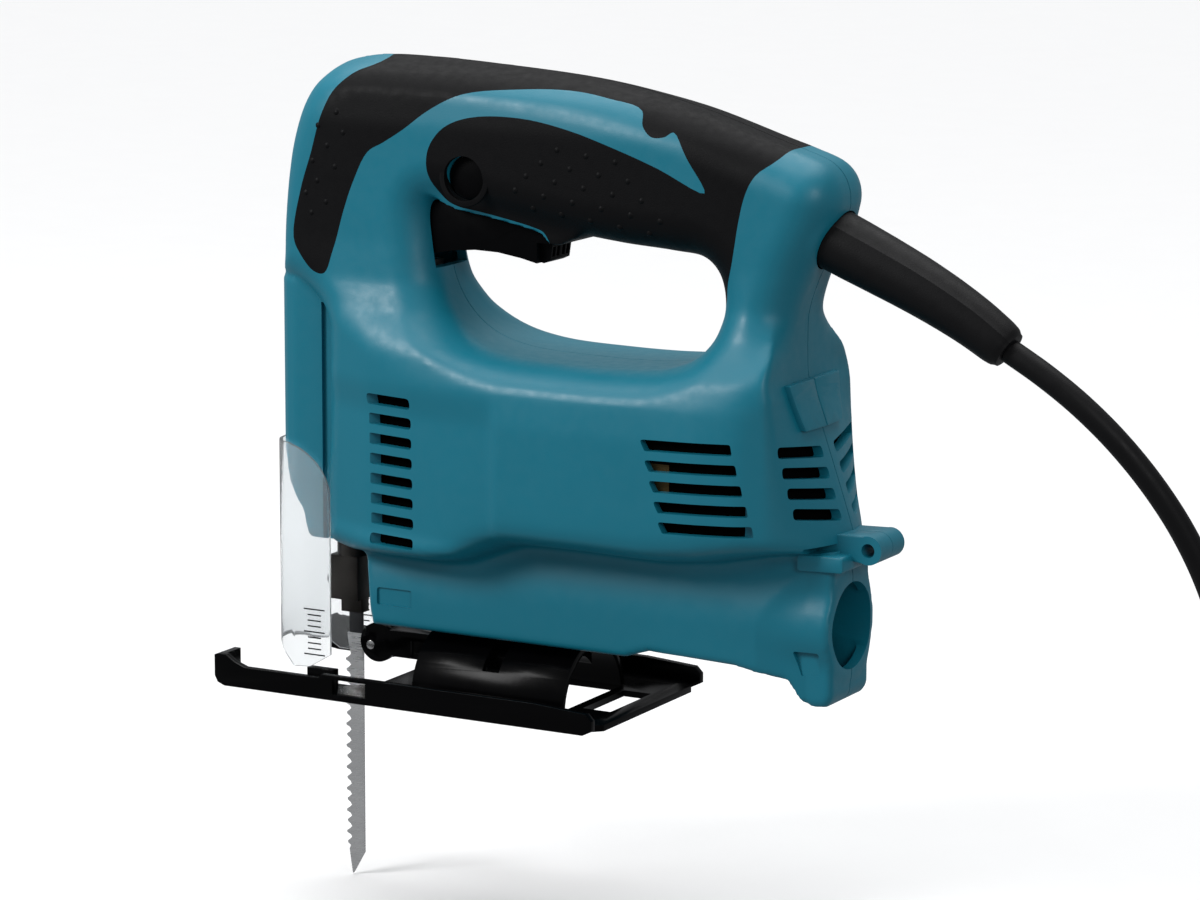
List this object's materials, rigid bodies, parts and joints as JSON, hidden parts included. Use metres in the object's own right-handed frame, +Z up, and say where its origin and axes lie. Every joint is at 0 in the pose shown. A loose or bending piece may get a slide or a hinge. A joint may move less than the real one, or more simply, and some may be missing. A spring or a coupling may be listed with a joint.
{
  "type": "jigsaw power tool",
  "caption": "Corded D-handle jigsaw with soft grips, tilting pressed shoe, clear chip cover, saw blade, dust port and mains lead.",
  "frame": {"origin": "on the sole's plane, on the blade's line, in the middle of the shoe's width", "axes": "+X to the rear (the lead's end), +Y to the tool's right-hand side, +Z up; the tool cuts towards -X"},
  "size_m": [0.5047, 0.0948, 0.263],
  "materials": {
    "shell": "satin moulded ABS",
    "soft_grip": "fine matt elastomer",
    "black_plastic": "fine texture",
    "grey_plastic": "plain",
    "white_nylon": "plain",
    "black_rubber": "matt",
    "lead_core": "insulated strand",
    "zinc_steel": "zinc plated",
    "steel": "ground",
    "bearing_steel": "polished",
    "sintered_steel": "sintered",
    "dark_steel": "dark sintered",
    "black_oxide": "black oxide",
    "blade_steel": "milled and set",
    "lamination": "stacked sheets",
    "cast_aluminium": "die cast",
    "bronze": "oil-filled bronze",
    "brass": "pressed",
    "nickel_brass": "nickel plated",
    "copper": "turned copper",
    "copper_wire": "enamelled wire",
    "carbon": "carbon",
    "black_paint": "black gloss coat",
    "clear_polycarbonate": "clear"
  },
  "bodies": {
    "housing": {"housing_left": "shell", "housing_right": "shell", "grip_left": "soft_grip", "grip_right": "soft_grip", "housing_screws": "zinc_steel", "trigger_pin": "steel", "switch_body": "grey_plastic", "wire_leads": "lead_core", "gear_housing": "cast_aluminium", "gear_pin": "steel", "plunger_bushes": "bronze", "plunger_seal": "black_rubber", "front_bearing": "bearing_steel", "rear_bearing": "bearing_steel", "bearing_holder": "black_rubber", "stator_core": "lamination", "stator_windings": "copper_wire", "brush_holders": "brass", "brush_left": "carbon", "brush_right": "carbon", "roller_pin": "steel", "retainer": "black_paint", "base_bolt": "zinc_steel", "base_nut": "zinc_steel", "cord_guard": "black_rubber", "cord_clamp": "black_plastic", "cord_clamp_screws": "zinc_steel", "lead_sheath": "black_rubber", "power_cord": "black_rubber", "cord_coil": "black_rubber", "cord_tail": "black_rubber", "plug_body": "black_rubber", "plug_pins": "nickel_brass"},
    "armature": {"pinion": "steel", "armature_shaft": "steel", "fan": "white_nylon", "armature_core": "lamination", "armature_windings": "copper_wire", "commutator": "copper"},
    "gear": {"drive_gear": "sintered_steel", "crank_pin": "steel"},
    "plunger": {"plunger": "steel", "blade_clamp": "dark_steel", "blade": "blade_steel"},
    "clamp_screw": {"clamp_screw": "black_oxide"},
    "roller": {"guide_roller": "steel"},
    "trigger": {"trigger": "black_plastic"},
    "lock_button": {"lock_button": "black_plastic"},
    "chip_cover": {"chip_cover": "clear_polycarbonate"},
    "shoe": {"base_plate": "black_paint"}
  },
  "joints": [
    {"name": "armature_spin", "type": "hinge", "parent": "housing", "child": "armature", "pos_m": [0.08, 0, 0.0795], "axis": [1, 0, 0], "continuous": true},
    {"name": "gear_spin", "type": "hinge", "parent": "housing", "child": "gear", "pos_m": [0.015, 0, 0.1025], "axis": [1, 0, 0], "continuous": true},
    {"name": "plunger_slide", "type": "slide", "parent": "housing", "child": "plunger", "axis": [0, 0, 1], "range_m": [0, 0.018]},
    {"name": "clamp_screw_turn", "type": "hinge", "parent": "plunger", "child": "clamp_screw", "pos_m": [-0.009, 0, 0.03], "axis": [-1, 0, 0], "range_deg": [-540, 0]},
    {"name": "roller_spin", "type": "hinge", "parent": "housing", "child": "roller", "pos_m": [0.0073, 0, 0.0105], "axis": [0, 1, 0], "continuous": true},
    {"name": "trigger_squeeze", "type": "hinge", "parent": "housing", "child": "trigger", "pos_m": [0.073, 0, 0.15], "axis": [0, 1, 0], "range_deg": [0, 7], "stiffness_Nm_per_rad": 1.5, "springref_deg": -4.58},
    {"name": "lock_button_push", "type": "slide", "parent": "housing", "child": "lock_button", "axis": [0, 1, 0], "range_m": [0, 0.0025], "stiffness_N_per_m": 700, "springref_m": -0.001},
    {"name": "chip_cover_slide", "type": "slide", "parent": "housing", "child": "chip_cover", "axis": [0, 0, 1], "range_m": [0, 0.04]},
    {"name": "shoe_bevel", "type": "hinge", "parent": "housing", "child": "shoe", "pos_m": [0.058, 0, 0], "axis": [1, 0, 0], "range_deg": [-45, 45]}
  ],
  "couplings": [
    {"joint": "gear_spin", "follows": "armature_spin", "ratio": -0.21053}
  ]
}
